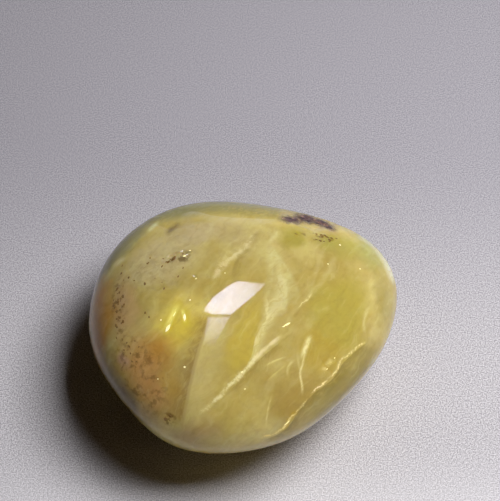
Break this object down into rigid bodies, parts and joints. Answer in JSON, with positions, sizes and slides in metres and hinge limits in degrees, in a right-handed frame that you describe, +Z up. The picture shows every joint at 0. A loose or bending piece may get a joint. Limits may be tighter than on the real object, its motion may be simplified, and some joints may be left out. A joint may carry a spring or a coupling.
{
  "type": "polished opal pebble",
  "caption": "Tumbled egg-shaped pebble of translucent yellow-green opal with healed cracks inside and a small worn flat to rest on.",
  "frame": {"origin": "on the resting flat, below the middle of the stone's box", "axes": "+Z up from the surface the stone lies on, +X along its length towards the narrower end, -Y towards the side that faces the viewer"},
  "size_m": [0.032, 0.0294, 0.0188],
  "materials": {
    "opal": "translucent yellow-green common opal, tumbled to a bright polish"
  },
  "bodies": {
    "root": {"opal": "opal"}
  },
  "joints": []
}
